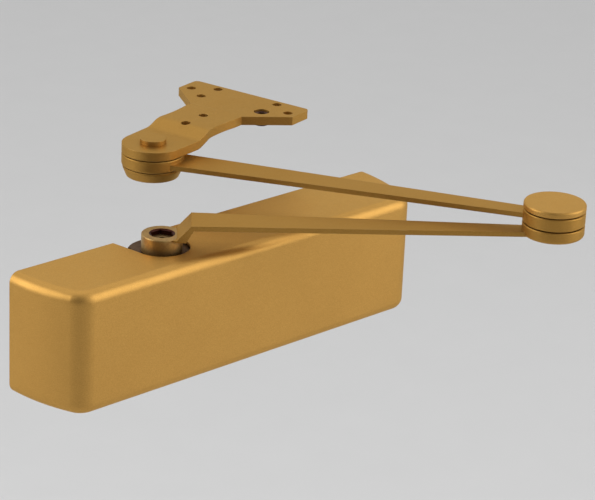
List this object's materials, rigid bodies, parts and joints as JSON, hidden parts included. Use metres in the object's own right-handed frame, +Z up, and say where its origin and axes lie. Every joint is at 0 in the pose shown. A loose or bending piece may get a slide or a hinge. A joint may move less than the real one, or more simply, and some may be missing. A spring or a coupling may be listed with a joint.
{
  "type": "door closer",
  "caption": "Surface-mounted door closer with a full cover, rack-and-pinion hydraulic body, jointed two-piece arm and T-shaped soffit plate.",
  "frame": {"origin": "centre of the four mounting holes, on the plane of the door's face", "axes": "+X along the cover towards its longer side from the spindle, +Y into the door, +Z up along the spindle towards the arm"},
  "size_m": [0.3138, 0.3271, 0.1263],
  "materials": {
    "paint": "satin metallic gold paint",
    "arm_paint": "satin metallic gold paint, slightly darker",
    "plated": "dull gold-brown plating over machined steel",
    "casting": "as cast, painted grey",
    "steel": "machined",
    "spring_steel": "oil-blackened",
    "blackened": "black oxide",
    "brass": "machined",
    "rubber": "matt",
    "washer": "matt"
  },
  "bodies": {
    "closer": {"cover": "paint", "cover_screws": "steel", "cover_posts": "steel", "closer_body": "casting", "left_end_plug": "steel", "left_plug_seal": "rubber", "right_end_plug": "steel", "right_plug_seal": "rubber", "outer_spring": "spring_steel", "inner_spring": "spring_steel", "power_screw_seal": "rubber", "upper_bearing": "steel", "lower_bearing": "steel", "thrust_washers": "brass", "upper_seal": "rubber", "lower_seal": "rubber", "upper_retainer": "plated", "lower_retainer": "plated", "valve_seals": "rubber", "fill_plug": "steel"},
    "spindle_and_arm": {"pinion_spindle": "steel", "arm_hub": "plated", "hub_set_screw": "blackened", "main_arm": "arm_paint", "elbow_pin": "steel", "elbow_washers": "washer", "elbow_cap": "paint"},
    "upper_roller_set": {"upper_rollers": "steel"},
    "lower_roller_set": {"lower_rollers": "steel"},
    "piston": {"rack_piston": "steel", "piston_seal": "rubber", "check_retainer": "brass"},
    "check_ball": {"check_ball": "steel"},
    "seat": {"spring_seat": "steel"},
    "power_screw": {"power_screw": "steel"},
    "sweep_valve": {"sweep_valve": "brass"},
    "latch_valve": {"latch_valve": "brass"},
    "backcheck_valve": {"backcheck_valve": "brass"},
    "forearm": {"forearm": "arm_paint", "elbow_bush": "brass", "soffit_bush": "brass"},
    "plate": {"soffit_plate": "paint", "soffit_rivet": "paint", "soffit_washer": "washer", "pivot_ring": "arm_paint", "stop_stud": "blackened"}
  },
  "joints": [
    {"name": "spindle_turn", "type": "hinge", "parent": "closer", "child": "spindle_and_arm", "pos_m": [-0.033, -0.0225, 0], "axis": [0, 0, 1], "range_deg": [-170, 0]},
    {"name": "upper_roller_orbit", "type": "hinge", "parent": "closer", "child": "upper_roller_set", "pos_m": [-0.033, -0.0225, 0.0255], "axis": [0, 0, 1], "range_deg": [-76.39, 0]},
    {"name": "lower_roller_orbit", "type": "hinge", "parent": "closer", "child": "lower_roller_set", "pos_m": [-0.033, -0.0225, -0.0255], "axis": [0, 0, 1], "range_deg": [-76.39, 0]},
    {"name": "piston_slide", "type": "slide", "parent": "closer", "child": "piston", "axis": [1, 0, 0], "range_m": [0, 0.02671], "stiffness_N_per_m": 39000, "springref_m": -0.02, "deforming": ["outer_spring", "inner_spring"]},
    {"name": "check_ball_slide", "type": "slide", "parent": "piston", "child": "check_ball", "axis": [1, 0, 0], "range_m": [0, 0.0018]},
    {"name": "power_screw_turn", "type": "hinge", "parent": "closer", "child": "power_screw", "pos_m": [0.147, -0.0225, 0], "axis": [1, 0, 0], "range_deg": [0, 2881]},
    {"name": "seat_slide", "type": "slide", "parent": "closer", "child": "seat", "axis": [-1, 0, 0], "range_m": [0, 0.012], "deforming": ["outer_spring", "inner_spring"]},
    {"name": "sweep_valve_turn", "type": "hinge", "parent": "closer", "child": "sweep_valve", "pos_m": [-0.085, -0.0495, 0.006], "axis": [0, -1, 0], "range_deg": [-90, 360]},
    {"name": "latch_valve_turn", "type": "hinge", "parent": "closer", "child": "latch_valve", "pos_m": [-0.073, -0.0495, -0.006], "axis": [0, -1, 0], "range_deg": [-90, 360]},
    {"name": "backcheck_valve_turn", "type": "hinge", "parent": "closer", "child": "backcheck_valve", "pos_m": [-0.061, -0.0495, 0.006], "axis": [0, -1, 0], "range_deg": [-90, 360]},
    {"name": "elbow", "type": "hinge", "parent": "spindle_and_arm", "child": "forearm", "pos_m": [0.15605, -0.18684, 0.07], "axis": [0, 0, 1], "continuous": true},
    {"name": "soffit_pivot", "type": "hinge", "parent": "forearm", "child": "plate", "pos_m": [0.01734, 0.04771, 0.075], "axis": [0, 0, 1], "continuous": true}
  ],
  "couplings": [
    {"joint": "piston_slide", "follows": "spindle_turn", "m_per_rad": -0.009},
    {"joint": "upper_roller_orbit", "follows": "spindle_turn", "ratio": 0.44643},
    {"joint": "lower_roller_orbit", "follows": "spindle_turn", "ratio": 0.44643},
    {"joint": "power_screw_turn", "follows": "seat_slide", "rad_per_m": 4188.8}
  ]
}
